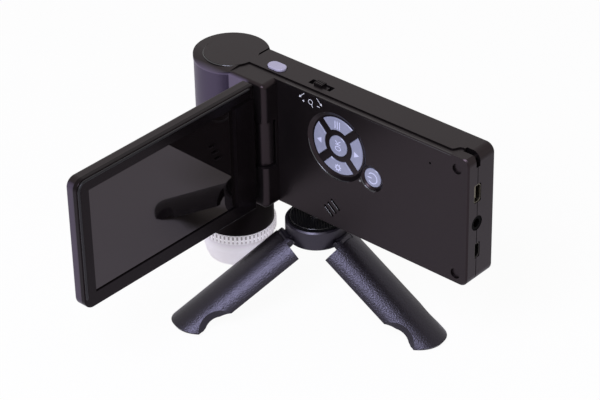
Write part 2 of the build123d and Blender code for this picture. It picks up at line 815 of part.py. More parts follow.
jack_depth = 11.0
with BuildPart() as av_jack:
    with BuildSketch(side_plane(slab_right - 0.2)):
        with Locations((jack_y, slab_bottom + jack_z)):
            Circle(jack_radius)
    extrude(amount=-(wall + 0.1))
    with BuildSketch(side_plane(board_right)):
        with Locations((board_y - 2.5, slab_bottom + jack_z)):
            Rectangle(5.0, 6.4)
    extrude(amount=-12.5)
    with BuildSketch(side_plane(slab_right - 0.2)):
        with Locations((jack_y, slab_bottom + jack_z)):
            Circle(jack_bore)
    extrude(amount=-jack_depth, mode=Mode.SUBTRACT)
save(av_jack, "av_jack")

with BuildPart() as case_screws:
    for x, z in screw_points:
        with BuildSketch(plane_at(face_y + plug_recess)):
            with Locations((x, z)):
                Circle(screw_radius - run_fit)
        extrude(amount=-(well_depth - plug_recess))
save(case_screws, "case_screws")

with BuildPart() as tripod_insert:
    with BuildSketch(Plane.XY.offset(slab_bottom)):
        with Locations(insert_point):
            Circle(insert_radius)
            Circle(screw_thread + run_fit, mode=Mode.SUBTRACT)
    extrude(amount=insert_height)
save(tripod_insert, "tripod_insert")

# ---------------------------------------------------------------- lid
# Lid frame: x from the hinge axis to the free end, y to the screen side, z up
lid_turn = radians(-lid_angle)
lid_frame = Plane(origin=(hinge_x, hinge_y, slab_bottom),
                  x_dir=(cos(lid_turn), sin(lid_turn), 0), z_dir=(0, 0, 1))


def lid_plane(y):
    """Plane parallel to the screen, drawn with x to the free end and z up, looking at the back."""
    return Plane(origin=lid_frame.from_local_coords(Vector(0, y, 0)),
                 x_dir=lid_frame.x_dir, z_dir=-lid_frame.y_dir)


lid_height = slab_height - lid_inset
lid_length = lid_end - lid_start
lid_center = (lid_start + lid_length / 2, lid_height / 2)
lid_part = lid_face - window_recess - glass_thickness - 0.4     # parting plane of the lid
window_height = lid_height - window_top - window_bottom
window_center = (lid_end - window_end - window_length / 2,
                 lid_height - window_top - window_height / 2)
window_near = lid_end - window_end - window_length

with BuildPart() as lid_back_cover:
    with BuildSketch(lid_plane(lid_back)) as cover_outline:
        with Locations(lid_center):
            Rectangle(lid_length, lid_height)
        fillet(cover_outline.vertices().group_by(Axis.X)[-1], lid_corner)
    extrude(amount=-(lid_part - lid_back))
    back_face = lid_back_cover.faces().sort_by(Axis((0, 0, 0), tuple(lid_frame.y_dir)))[0]
    fillet(back_face.edges(), lid_back_edge)
    cavity_near = window_near - panel_margin - panel_gap
    cavity_end = lid_end - lid_wall
    with BuildSketch(lid_plane(lid_part)):
        with Locations(((cavity_near + cavity_end) / 2, lid_center[1])):
            Rectangle(cavity_end - cavity_near, lid_height - 2 * lid_wall)
    extrude(amount=lid_part - lid_back - lid_wall, mode=Mode.SUBTRACT)
    with BuildSketch(lid_frame.offset(knuckle_low)):
        Circle(knuckle_radius)
        with Locations(((lid_start + 2) / 2, (lid_part + lid_back) / 2 + 0.25)):
            Rectangle(lid_start + 2, lid_part - lid_back - 0.5)
    extrude(amount=knuckle_length)
    with BuildSketch(lid_frame.offset(knuckle_low)):
        Circle(pin_radius + run_fit)
    extrude(amount=knuckle_length, mode=Mode.SUBTRACT)
save(lid_back_cover, "lid_back_cover")

with BuildPart() as lid_bezel:
    with BuildSketch(lid_plane(lid_part)) as bezel_outline:
        with Locations(lid_center):
            Rectangle(lid_length, lid_height)
        fillet(bezel_outline.vertices().group_by(Axis.X)[-1], lid_corner)
    extrude(amount=-(lid_face - lid_part))
    screen_face = lid_bezel.faces().sort_by(Axis((0, 0, 0), tuple(lid_frame.y_dir)))[-1]
    fillet(screen_face.edges(), lid_front_edge)
    with BuildSketch(lid_plane(lid_face)):
        with Locations(((lid_start + 1.0 + window_near) / 2, window_center[1])):
            Rectangle(window_near - lid_start - 1.0, window_height)
    extrude(amount=-spine_rise)
    with BuildSketch(lid_plane(lid_face + spine_rise)):
        with Locations(window_center):
            Rectangle(window_length, window_height)
    extrude(amount=spine_rise + window_recess, mode=Mode.SUBTRACT)
    with BuildSketch(lid_plane(lid_face - window_recess)):
        with Locations(window_center):
            Rectangle(window_length + 2 * glass_margin, window_height + 2 * glass_margin)
    extrude(amount=lid_face - window_recess - lid_part, mode=Mode.SUBTRACT)
save(lid_bezel, "lid_bezel")

with BuildPart() as screen_glass:
    with BuildSketch(lid_plane(lid_face - window_recess)):
        with Locations(window_center):
            Rectangle(window_length + 2 * glass_margin, window_height + 2 * glass_margin)
    extrude(amount=glass_thickness)
save(screen_glass, "screen_glass")

with BuildPart() as lcd_panel:
    with BuildSketch(lid_plane(lid_face - window_recess - glass_thickness)):
        with Locations(window_center):
            Rectangle(window_length + 2 * panel_margin, window_height + 2 * panel_margin)
    extrude(amount=0.4)
    with BuildSketch(lid_plane(lid_part)):
        with Locations(window_center):
            Rectangle(window_length + 2 * panel_margin, window_height + 2 * panel_margin)
    extrude(amount=lid_part - lid_back - lid_wall - 0.1)
save(lcd_panel, "lcd_panel")

with BuildPart() as hinge_pin:
    with BuildSketch(Plane.XY.offset(pin_bottom)):
        with Locations((hinge_x, hinge_y)):
            Circle(pin_radius)
    extrude(amount=pin_length)
save(hinge_pin, "hinge_pin")

# ---------------------------------------------------------------- tripod
head_floor = head_bottom + cap_height
pivot_z = slab_bottom - pivot_drop


def leg_frame(azimuth, slope):
    """Frame of one leg at its pivot: x level across, y out of the crest, z down the leg."""
    out = Vector(cos(radians(azimuth)), sin(radians(azimuth)), 0)
    across = Vector(-sin(radians(azimuth)), cos(radians(azimuth)), 0)
    down = out * cos(radians(slope)) + Vector(0, 0, -sin(radians(slope)))
    pivot = Vector(tripod_x, tripod_y, pivot_z) + out * pivot_radius
    return Plane(origin=pivot, x_dir=across, z_dir=down)


def side_of(frame, shift):
    """Plane square to a leg's pin, shifted along it, with x down the leg and y to its crest."""
    return Plane(origin=frame.from_local_coords(Vector(shift, 0, 0)),
                 x_dir=frame.z_dir, z_dir=-frame.x_dir)


with BuildPart() as tripod_head:
    with BuildSketch(Plane.XY.offset(head_floor)):
        with Locations(insert_point):
            Circle(head_radius)
    extrude(amount=head_top - pad_thickness / 2 - head_floor)
    chamfer(tripod_head.faces().sort_by(Axis.Z)[-1].edges(), head_edge)
    with BuildSketch(Plane.XY.offset(head_top - pad_thickness)):
        with Locations(insert_point):
            Circle(head_radius - 1.1)
    extrude(amount=pad_thickness, mode=Mode.SUBTRACT)
    for azimuth in leg_azimuths:
        level = leg_frame(azimuth, 0)
        with BuildSketch(level.offset(-ear_radius - ear_room)):
            with Locations((0, ear_radius + ear_room)):
                Rectangle(2 * head_radius, 2 * head_height, align=(Align.CENTER, Align.MAX))
        extrude(amount=head_radius, mode=Mode.SUBTRACT)
        with BuildSketch(side_of(level, -lug_width / 2)):
            Circle(ear_radius)
            with Locations((0, ear_radius)):
                Rectangle(ear_radius + ear_room + weld, ear_radius - (head_floor - pivot_z),
                          align=(Align.MAX, Align.MAX))
        extrude(amount=-lug_width)
        with BuildSketch(side_of(level, -lug_width / 2)):
            Circle(leg_pin_radius)
        extrude(amount=-lug_width, mode=Mode.SUBTRACT)
    with BuildSketch(Plane.XY.offset(head_floor)):
        with Locations(insert_point):
            Circle(screw_thread + run_fit)
    extrude(amount=head_height, mode=Mode.SUBTRACT)
save(tripod_head, "tripod_head")

with BuildPart() as tripod_base:
    with BuildSketch(Plane.XY.offset(head_bottom)):
        with Locations(insert_point):
            Circle(base_radius)
    extrude(amount=cap_height)
    chamfer(tripod_base.faces().sort_by(Axis.Z)[0].edges(), head_edge)
    for azimuth in leg_azimuths:
        with BuildSketch(leg_frame(azimuth, 0).offset(-ear_radius - ear_room)):
            Rectangle(2 * head_radius, 2 * head_height)
        extrude(amount=head_radius, mode=Mode.SUBTRACT)
save(tripod_base, "tripod_base")

with BuildPart() as tripod_pad:
    with BuildSketch(Plane.XY.offset(head_top - pad_thickness)):
        with Locations(insert_point):
            Circle(head_radius - 1.1)
            Circle(screw_thread + run_fit, mode=Mode.SUBTRACT)
    extrude(amount=pad_thickness)
save(tripod_pad, "tripod_pad")

with BuildPart() as tripod_screw:
    with BuildSketch(Plane.XY.offset(head_floor)):
        with Locations(insert_point):
            Circle(screw_thread)
    extrude(amount=slab_bottom + insert_height - 1.5 - head_floor)
    chamfer(tripod_screw.faces().sort_by(Axis.Z)[-1].edges(), 0.6)
save(tripod_screw, "tripod_screw")

half_span = radians(leg_span / 2)
tube_y = leg_crest - leg_radius
leg_side = leg_radius * sin(half_span)
edge_y = tube_y + leg_radius * cos(half_span)
foot_place = leg_start + leg_length - foot_radius
scallop_radius = ((scallop_length / 2)**2 + scallop_depth**2) / (2 * scallop_depth)
scallop_side = leg_side - scallop_depth + scallop_radius
ear_in = lug_width / 2 + ear_gap
for leg_name, azimuth, slope in zip(("leg_front", "leg_side", "leg_rear"), leg_azimuths, leg_slopes):
    frame = leg_frame(azimuth, slope)
    with BuildPart() as leg:
        # Ears that take the pin, trimmed to the leg's outer surface
        for shift in (-ear_in - ear_thickness, ear_in):
            with BuildSketch(side_of(frame, shift)):
                Circle(ear_radius)
                with Locations((4, 0)):
                    Rectangle(8, 2 * ear_radius)
            extrude(amount=-ear_thickness)
        with BuildSketch(frame.offset(-ear_radius - 1)):
            with Locations((0, tube_y)):
                Circle(leg_radius)
        extrude(amount=20, mode=Mode.INTERSECT)
        # Shell: part of a tube with level edges, so that the folded legs nearly close into one
        with BuildSketch(frame.offset(leg_start)):
            with Locations((0, tube_y)):
                Circle(leg_radius)
                Circle(leg_radius - leg_wall, mode=Mode.SUBTRACT)
            with Locations((0, edge_y)):
                Rectangle(2 * leg_radius, leg_radius, align=(Align.CENTER, Align.MIN),
                          mode=Mode.INTERSECT)
        extrude(amount=leg_length)
        # Sole: level while the leg is splayed
        with BuildSketch(side_of(frame, -leg_radius)):
            with Locations((sole_place, -sole_depth)):
                Rectangle(leg_length, leg_radius, rotation=slope, align=(Align.CENTER, Align.MAX))
        extrude(amount=-2 * leg_radius, mode=Mode.SUBTRACT)
        # Room for the head once the leg is folded
        with BuildSketch(frame.offset(-ear_radius - 1)):
            with Locations((0, -pivot_radius)):
                Circle(head_radius + head_room)
        extrude(amount=ear_radius + 1 + pivot_z - head_bottom + head_room, mode=Mode.SUBTRACT)
        # Slot for the head's lug, and the pin's hole
        with BuildSketch(side_of(frame, -ear_in)):
            Circle(ear_radius + 0.6)
        extrude(amount=-2 * ear_in, mode=Mode.SUBTRACT)
        with BuildSketch(side_of(frame, -leg_radius)):
            Circle(leg_pin_radius + run_fit)
        extrude(amount=-2 * leg_radius, mode=Mode.SUBTRACT)
        # Outline seen square to the leg: straight sides, a round foot, and a scallop on each side
        crest_plane = Plane(origin=frame.from_local_coords(Vector(0, leg_crest + 1, 0)),
                            x_dir=frame.x_dir, z_dir=frame.y_dir)
        with BuildSketch(crest_plane):
            with Locations((0, ear_radius + 1)):
                Rectangle(2 * leg_radius, foot_place + ear_radius + 1, align=(Align.CENTER, Align.MAX))
            with Locations((0, -foot_place)):
                Circle(foot_radius)
            with Locations((-scallop_side, -scallop_place), (scallop_side, -scallop_place)):
                Circle(scallop_radius, mode=Mode.SUBTRACT)
        extrude(amount=-2 * leg_radius, mode=Mode.INTERSECT)
    save(leg, leg_name)

with BuildPart() as leg_pins:
    for azimuth in leg_azimuths:
        with BuildSketch(side_of(leg_frame(azimuth, 0), -ear_in - ear_thickness)):
            Circle(leg_pin_radius)
        extrude(amount=-2 * (ear_in + ear_thickness))
save(leg_pins, "leg_pins")
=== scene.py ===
# %% [markdown]
# # A handheld microscope with a screen
#
# This lesson dresses a small electronic microscope: a slab with keys, a lid that carries the
# screen, a barrel with a clear nose, and a folding tripod. Its solids come ready made, at their
# real size and in metres, so the work here is the finish of every surface, the small raised
# signs, and the light. Each cell makes one thing and prints what it made.

# %% The solids
from math import cos, pi, radians, sin

import bpy
import numpy as np
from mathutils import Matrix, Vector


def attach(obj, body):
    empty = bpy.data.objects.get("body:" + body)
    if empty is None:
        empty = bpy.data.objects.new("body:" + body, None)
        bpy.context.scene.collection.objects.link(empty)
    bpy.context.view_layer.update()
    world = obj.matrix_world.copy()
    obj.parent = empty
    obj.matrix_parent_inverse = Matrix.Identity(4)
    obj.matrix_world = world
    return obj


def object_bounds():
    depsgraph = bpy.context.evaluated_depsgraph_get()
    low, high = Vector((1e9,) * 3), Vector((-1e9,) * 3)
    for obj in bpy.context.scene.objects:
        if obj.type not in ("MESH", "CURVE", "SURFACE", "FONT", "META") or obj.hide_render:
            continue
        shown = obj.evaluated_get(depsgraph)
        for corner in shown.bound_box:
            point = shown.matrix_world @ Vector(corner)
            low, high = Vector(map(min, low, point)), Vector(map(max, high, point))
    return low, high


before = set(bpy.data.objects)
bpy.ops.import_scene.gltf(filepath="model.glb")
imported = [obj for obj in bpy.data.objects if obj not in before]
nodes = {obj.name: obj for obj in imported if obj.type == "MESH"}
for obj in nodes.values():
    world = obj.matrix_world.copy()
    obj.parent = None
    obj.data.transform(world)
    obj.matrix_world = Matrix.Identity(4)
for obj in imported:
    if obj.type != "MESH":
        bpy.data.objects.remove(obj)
cad_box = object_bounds()
MM = 0.001
print(len(nodes), "solids, box", cad_box)

# %% [markdown]
# ## The camera
#
# A product picture is taken from far away with a long lens, so that upright edges stay nearly
# parallel. The camera's place is worked out from two angles, a small roll and a distance: three
# unit vectors (right, up and back) are built from the angles, and they are also the columns of
# the camera's matrix, because a camera in Blender looks along its own -Z.

# %% Camera
AZIMUTH, ELEVATION, ROLL = radians(42.09), radians(32.95), radians(-1.27)
FOCAL_MM, SENSOR_MM = 146.75, 36.0
AIM = np.array([38.67, 0.0, 66.0]) * MM
AIM_RIGHT, AIM_UP, DISTANCE = -2.05 * MM, -21.80 * MM, 973.6 * MM


def stand(thing, across, upward, backward, origin):
    """Turns and places an object. Its own X, Y and Z axes and its origin are the columns of its
    matrix, and a nested list is read column by column."""
    columns = np.eye(4)
    columns[:, :3] = across, upward, backward, origin
    thing.matrix_world = columns.tolist()
    bpy.context.scene.collection.objects.link(thing)


back = np.array([sin(AZIMUTH) * cos(ELEVATION), -cos(AZIMUTH) * cos(ELEVATION), sin(ELEVATION)])
level_right = np.array([cos(AZIMUTH), sin(AZIMUTH), 0.0])
level_up = np.cross(back, level_right)
right = level_right * cos(ROLL) + level_up * sin(ROLL)
up = level_up * cos(ROLL) - level_right * sin(ROLL)
eye = AIM + right * AIM_RIGHT + up * AIM_UP + back * DISTANCE

lens = bpy.data.cameras.new("product_camera")
lens.lens, lens.sensor_width = FOCAL_MM, SENSOR_MM
camera = bpy.data.objects.new("product_camera", lens)
stand(camera, right, up, back, eye)
bpy.context.scene.camera = camera
bpy.context.scene.view_settings.view_transform = "Standard"
print("camera at", eye.round(3))

# %% [markdown]
# ## Arithmetic on a material's signals
#
# A pattern is a small sum: a noise, times a strength, plus a base. Written as nodes it takes many
# lines, so a class wraps one output socket and lets Python's own operators add the Math nodes.
# The reflected forms let a plain number stand on the left, as in `1 - mask`. Three more words
# say where a patch lies: rises and falls bound it on one side, and between bounds it on both.

# %% Signals
class Signal:
    """One value of a node tree. Arithmetic on it adds Math nodes."""

    def __init__(self, nodes, socket):
        self.nodes, self.socket = nodes, socket

    def __add__(self, other): return self.nodes.math("ADD", self, other)
    def __radd__(self, other): return self.nodes.math("ADD", other, self)
    def __sub__(self, other): return self.nodes.math("SUBTRACT", self, other)
    def __rsub__(self, other): return self.nodes.math("SUBTRACT", other, self)
    def __mul__(self, other): return self.nodes.math("MULTIPLY", self, other)
    def __rmul__(self, other): return self.nodes.math("MULTIPLY", other, self)
    def __truediv__(self, other): return self.nodes.math("DIVIDE", self, other)
    def above(self, level): return self.nodes.math("GREATER_THAN", self, level)
    def cosine(self): return self.nodes.math("COSINE", self, 0.0)
    def clamped(self): return self.nodes.math("ADD", self, 0.0, clamp=True)

    def rises(self, start, run):
        """0 up to start, then straight up to 1 over a run."""
        return ((self - start) / run).clamped()

    def falls(self, end, run):
        """0 beyond end, and 1 from a run before it."""
        return ((end - self) / run).clamped()

    def between(self, start, rise_run, end, fall_run):
        """1 inside a window, with a ramp at each side of it."""
        return self.rises(start, rise_run) * self.falls(end, fall_run)


class Nodes:
    """A node tree, with one method that adds any node."""

    def __init__(self, tree):
        self.tree = tree

    def node(self, kind, settings, sockets, output=0):
        """Adds a node: settings first, then a value or a Signal for each socket."""
        made = self.tree.nodes.new("ShaderNode" + kind)
        for key, value in settings.items():
            setattr(made, key, value)
        for key, value in sockets.items():
            if isinstance(value, Signal):
                self.tree.links.new(value.socket, made.inputs[key])
            else:
                made.inputs[key].default_value = value
        return Signal(self, made.outputs[output])

    def math(self, operation, first, second, clamp=False):
        return self.node("Math", {"operation": operation, "use_clamp": clamp},
                         {0: first, 1: second})


print("sums can be written on node sockets")

# %% [markdown]
# ## A finish
#
# Every finish starts from the Principled shader, with the values that are the same all over set
# on its own sockets. Patterns read the object's own coordinates, so they stay on a piece when it
# moves. What varies then feeds only the colour, the roughness or the bump.

# %% Finishes
class Finish(Nodes):
    """A material, with its Principled shader and the patterns that feed it."""

    def __init__(self, name, color, roughness, **constants):
        self.material = bpy.data.materials.new(name)
        self.material.use_nodes = True
        super().__init__(self.material.node_tree)
        self.shader = self.tree.nodes["Principled BSDF"]
        self.shader.inputs["Base Color"].default_value = (*color, 1.0)
        self.shader.inputs["Roughness"].default_value = roughness
        for socket, value in constants.items():
            self.shader.inputs[socket.replace("_", " ")].default_value = value
        self.point = self.node("TexCoord", {}, {}, "Object")

    def noise(self, size_mm, detail=2.0, stretch=(1.0, 1.0, 1.0)):
        """Smooth noise from 0 to 1 whose blobs are about size_mm across, on the object's own
        coordinates; stretch squeezes it along an axis."""
        scale = tuple(s / (size_mm * MM) for s in stretch)
        spread = self.node("Mapping", {}, {"Vector": self.point, "Scale": scale})
        return self.node("TexNoise", {}, {"Vector": spread, "Scale": 1.0, "Detail": detail})

    def place(self, axis):
        """The object's own coordinate along an axis, in millimetres."""
        return self.node("SeparateXYZ", {}, {"Vector": self.point}, "XYZ".index(axis)) / MM

    def feed(self, socket, signal):
        self.tree.links.new(signal.socket, self.shader.inputs[socket])

    def tint(self, mask, first, second):
        """Base colour that goes from first to second as mask goes from 0 to 1."""
        first, second = (color if isinstance(color, Signal) else (*color, 1.0)
                         for color in (first, second))
        mixed = self.node("Mix", {"data_type": "RGBA"}, {0: mask, 6: first, 7: second}, 2)
        self.feed("Base Color", mixed)
        return mixed

    def relief(self, height, depth_mm):
        """Bump whose full swing from 0 to 1 is depth_mm."""
        bump = self.node("Bump", {}, {"Height": height, "Distance": depth_mm * MM, "Strength": 1.0})
        self.feed("Normal", bump)


def paint(finish, *names):
    """Gives a finish to CAD nodes, through their objects' material slots."""
    for name in names:
        for material_slot in nodes[name].material_slots:
            material_slot.material = finish.material
    print(finish.material.name, "on", ", ".join(names))


print(len(nodes), "solids wait for a finish")

# %% [markdown]
# ## Black housing plastic
#
# The shells are injection moulded and lightly spark-eroded, so they are black but not mirrors:
# the plastic itself is almost pitch black, and a soft reflection does all the drawing. Its pigment
# gives that reflection a faint warm cast, which is what Specular Tint is for. The colour stays
# almost constant, and the life is in the roughness, which drifts over centimetres as it does on
# a handled case, and in a bump of a few micrometres at the scale of the mould's grain.
#
# Two of the mouldings carry painted light. Along the lid cover's free end a pale lilac strip is a
# painted sheen, where the rounded end would mirror the white room. On the front shell, the hinge
# block's front and the lip under the disc get a painted lilac sheen, violet like the barrel beside
# them. Ramps on the piece's own coordinates, multiplied, say where.

# %% Housing
WARM = (1.0, 0.75, 0.79, 1.0)


def case_plastic(name, color, roughness, grain_mm=0.35, depth_mm=0.004, **constants):
    """Moulded plastic: drifting sheen, mould grain, and faint rubbed patches."""
    finish = Finish(name, color, roughness, **constants)
    drift = finish.noise(22.0)
    rubbed = finish.noise(3.0, 4.0)
    finish.feed("Roughness", roughness - 0.05 + 0.08 * drift + 0.04 * rubbed)
    finish.pigment = finish.tint(drift * 0.6, color, tuple(c * 1.35 for c in color))
    finish.relief(finish.noise(grain_mm, 3.0), depth_mm)
    return finish


def shell_plastic(name):
    return case_plastic(name, (0.0036, 0.0030, 0.0031), 0.31, Specular_IOR_Level=0.33,
                        Specular_Tint=WARM)


paint(shell_plastic("housing_black"), "rear_shell", "zoom_lever", "case_screws")

cover_black = shell_plastic("cover_black")
along, across = (cover_black.place(axis) for axis in "XY")
# painted sheen: a paler lilac strip along the free end of the lid cover
painted_sheen_end = across.falls(-107.3, 1.0) * along.falls(21.6, 1.8)
cover_black.tint(painted_sheen_end * (0.7 + 0.3 * cover_black.noise(6.0)), cover_black.pigment,
                 (0.050, 0.040, 0.060))
paint(cover_black, "lid_back_cover")

front_black = shell_plastic("front_black")
along, across, upwards = (front_black.place(axis) for axis in "XYZ")
# painted sheen: the hinge block's front and the lip under the disc are tinted lilac where light
# falls on them
painted_lilac_sheen = across.falls(-5.6, 2.4) * upwards.falls(94.3, 1.0) * along.falls(20.5, 2.0)
front_black.tint(painted_lilac_sheen, front_black.pigment, (0.112, 0.092, 0.134))
paint(front_black, "front_shell")

# %% [markdown]
# ## Bezel, ring and jack
#
# The screen's frame is smoother than the shells, so it looks darker square on. The focus ring is
# matt, and so are the speaker and the microphone behind their openings. The round jack swallows
# nearly all light.

# %% Other black plastics
paint(case_plastic("bezel_black", (0.0034, 0.0026, 0.0028), 0.22, depth_mm=0.002,
                   Specular_IOR_Level=0.13, Specular_Tint=WARM), "lid_bezel")
paint(case_plastic("matt_black", (0.0030, 0.0024, 0.0024), 0.42, grain_mm=0.5,
                   Specular_IOR_Level=0.10, Specular_Tint=WARM),
      "focus_ring", "speaker", "microphone")
paint(case_plastic("deep_black", (0.0014, 0.0013, 0.0013), 0.55, grain_mm=0.5,
                   Specular_IOR_Level=0.03), "av_jack")

# %% [markdown]
# ## Violet-black barrel
#
# The fixed tube is sprayed with a satin paint that has a little violet metal flake, so its edge
# turns lavender where it mirrors the white room at a low angle. A small metallic share tints
# that reflection, and a very fine noise breaks it into flakes.

# %% Barrel
paint(case_plastic("barrel_satin", (0.062, 0.047, 0.076), 0.34, grain_mm=0.2, Metallic=0.45,
                   Specular_IOR_Level=0.40), "barrel_tube", "lens_carrier")

# %% [markdown]
# ## Leg plastic
#
# The legs are moulded in black with a blue pearl pigment and a fine sparkling grain. Seen square
# on, a reflection takes the pearl's colour, and at a low angle it stays white, so the tint belongs
# on the specular reflection and not in the base colour. A noise of a little over half a millimetre
# gives each grain its own height and gloss, so that the long highlight along a leg looks sanded.

# %% Legs and head
GRAIN_MM, GRAIN_DEPTH_MM = 0.62, 0.15
FLECK_MM, FLECK_LEVEL = 0.22, 0.62


def leg_plastic():
    """Grained plastic: one noise drives the height and the roughness, and the peaks of a finer
    one add a faint pale fleck."""
    color, roughness = (0.0050, 0.0036, 0.0038), 0.31
    finish = Finish("leg_plastic", color, roughness, Specular_IOR_Level=0.52,
                    Specular_Tint=(0.86, 0.81, 1.0, 1.0))
    grain = finish.noise(GRAIN_MM, 3.0)
    fleck = (finish.noise(FLECK_MM, 1.0) - FLECK_LEVEL).clamped() * 3.0
    finish.tint(fleck, color, (0.05, 0.05, 0.08))
    finish.feed("Roughness", roughness - 0.06 + 0.14 * grain)
    finish.relief(grain, GRAIN_DEPTH_MM)
    return finish


paint(leg_plastic(), "leg_front", "leg_side", "leg_rear")
paint(case_plastic("head_plastic", (0.0075, 0.0062, 0.0085), 0.33, Specular_IOR_Level=0.66,
                   Specular_Tint=(0.92, 0.86, 1.0, 1.0)), "tripod_head", "tripod_base")

# %% [markdown]
# ## Rubber pad
#
# The pad grips the case with fine parallel ribs. A Wave texture draws them as a height, which
# is enough for ribs under a millimetre wide that are seen at a low angle.

# %% Pad
def ribbed_rubber():
    finish = Finish("ribbed_rubber", (0.0030, 0.0028, 0.0034), 0.50, Specular_IOR_Level=0.05)
    ribs = finish.node("TexWave", {"wave_type": "BANDS", "bands_direction": "DIAGONAL"},
                       {"Vector": finish.point, "Scale": 420.0, "Distortion": 0.0}, 1)
    dust = finish.noise(1.2, 4.0)
    finish.feed("Roughness", 0.48 + 0.16 * dust)
    finish.relief(ribs * 0.9 + dust * 0.1, 0.25)
    return finish


paint(ribbed_rubber(), "tripod_pad")

# %% [markdown]
# ## Frosted nose
#
# The nose is a pale frosted moulding. Its faint glow is painted light: an emission that brightens
# it as if the white room's light came through it. A little light goes straight through, spread by a
# rough surface, and the rest scatters back from a pale grey with a breath of lavender. Between the
# grip ribs the dark ring behind it shows as rows of dashes, which are drawn from the angle round
# the axis and the height.

# %% Frosted moulding
RIBS = 56
LONG_DASH = (13.9, 1 / 3, 15.85, 0.2)
SHORT_DASH = (12.2, 0.25, 13.4, 0.25)
BOWL = (8.0, 3.0, 12.6, 0.625)


def frosted_clear():
    """Frosted plastic. With a the angle round the axis, cos(56 a) is low between the ribs, and
    two windows in height turn each gap into a long dark dash and a fainter short one. A third,
    softer window shades the bowl behind."""
    # the emission is a painted glow, since the moulding is no lamp
    finish = Finish("frosted_clear", (0.95, 0.92, 0.95), 0.34, IOR=1.49, Transmission_Weight=0.06,
                    Emission_Color=(1.0, 0.96, 0.99, 1.0), Emission_Strength=0.19)
    haze = finish.noise(4.0, 3.0)
    along, across, height = (finish.place(axis) for axis in "XYZ")
    angle = finish.math("ARCTAN2", across, along)
    gap = (angle * RIBS).cosine().falls(0.12, 0.4)
    dashes = height.between(*LONG_DASH) + height.between(*SHORT_DASH) * 0.7
    worn = finish.noise(5.0)
    dash = (gap * dashes * (0.6 + 0.8 * worn)).clamped()
    shade = height.between(*BOWL)
    pale = finish.tint(haze, (0.93, 0.895, 0.93), (0.97, 0.945, 0.97))
    bowl = finish.tint(shade * 0.6, pale, (0.50, 0.465, 0.52))
    finish.tint(dash, bowl, (0.045, 0.035, 0.045))
    finish.feed("Roughness", 0.28 + 0.14 * haze)
    finish.relief(finish.noise(2.5), 0.02)
    return finish


paint(frosted_clear(), "nose_cap")

# %% [markdown]
# ## Lavender keys
#
# The keys are tinted translucent plastic over a pale backing, moulded with a satin face. A cloudy
# noise moves the colour a little within each key, and a thin clear coat gives the bright edge.

# %% Keys
def key_plastic(name, dark, pale):
    finish = Finish(name, dark, 0.36, Coat_Weight=0.25, Coat_Roughness=0.18)
    cloud = finish.noise(2.6, 3.0)
    finish.tint(cloud, dark, pale)
    finish.feed("Roughness", 0.30 + 0.12 * cloud)
    finish.relief(finish.noise(0.3), 0.003)
    return finish


paint(key_plastic("key_plastic", (0.245, 0.258, 0.345), (0.325, 0.338, 0.425)),
      "key_up", "key_down", "key_left", "key_right", "key_ok", "power_key")
paint(key_plastic("button_plastic", (0.40, 0.375, 0.470), (0.48, 0.450, 0.560)), "snap_button")

# %% [markdown]
# ## Screen
#
# Switched off, the window is a black mirror. Its job is to reflect: the roughness is close to
# nothing, with a trace of fingertip haze.

# %% Screen
def screen_mirror():
    finish = Finish("screen_mirror", (0.0024, 0.0018, 0.0018), 0.03, IOR=1.50,
                    Specular_IOR_Level=0.66, Specular_Tint=(1.0, 0.85, 0.86, 1.0))
    haze = finish.noise(16.0, 4.0)
    finish.feed("Roughness", 0.012 + 0.035 * haze)
    return finish


paint(screen_mirror(), "screen_glass")

# %% [markdown]
# ## Metals and inner parts
#
# Pins and sockets are small bright stampings, and the boards are only seen through holes. One
# function makes every metal: a colour, and brushing, which is noise squeezed along two axes so
# that it runs in streaks along the third.

# %% Metals, boards and lamps
def stamped_metal(name, color, roughness):
    """Metal with fine brushing along X."""
    finish = Finish(name, color, roughness, Metallic=1.0)
    brushing = finish.noise(0.8, 4.0, stretch=(1.0, 8.0, 8.0))
    finish.feed("Roughness", roughness - 0.08 + 0.16 * brushing)
    finish.relief(brushing, 0.003)
    return finish


paint(stamped_metal("bright_steel", (0.72, 0.71, 0.70), 0.24), "hinge_pin", "tripod_screw")
paint(stamped_metal("blackened_steel", (0.055, 0.052, 0.060), 0.30), "leg_pins")
paint(stamped_metal("socket_steel", (0.60, 0.60, 0.62), 0.30),
      "card_socket", "tact_switches", "zoom_switch")
paint(stamped_metal("port_steel", (0.20, 0.185, 0.135), 0.34), "usb_socket")
paint(stamped_metal("port_steel_dark", (0.075, 0.070, 0.062), 0.36), "hdmi_socket")
paint(stamped_metal("insert_brass", (0.78, 0.58, 0.28), 0.30), "tripod_insert")


def solder_mask():
    """Circuit board: green lacquer over raised tracks."""
    finish = Finish("solder_mask", (0.010, 0.090, 0.035), 0.30)
    tracks = finish.noise(2.0, 0.0).above(0.52)
    finish.tint(tracks, (0.008, 0.070, 0.028), (0.014, 0.130, 0.050))
    finish.relief(tracks, 0.03)
    return finish


paint(solder_mask(), "main_board", "lamp_board", "sensor_board")


def lamp_lens(name, pale, deep):
    """Lamp bodies whose colour drifts from a pale to a deep tone."""
    finish = Finish(name, pale, 0.22)
    finish.tint(finish.noise(1.2), pale, deep)
    return finish


paint(lamp_lens("lamp_lens", (0.88, 0.88, 0.84), (0.86, 0.78, 0.42)), "ring_lamps")
paint(lamp_lens("lamp_smoked", (0.20, 0.20, 0.19), (0.12, 0.12, 0.11)), "status_lamp")


def coated_glass():
    """Objective glass with a faint green and violet coating that drifts over the surface."""
    finish = Finish("coated_glass", (0.80, 0.86, 0.90), 0.02, IOR=1.6, Transmission_Weight=1.0)
    finish.tint(finish.noise(5.0), (0.62, 0.80, 0.74), (0.78, 0.70, 0.90))
    return finish


paint(coated_glass(), "objective_lens")
paint(case_plastic("cell_wrap", (0.22, 0.24, 0.28), 0.45), "battery", "lcd_panel", "image_sensor")

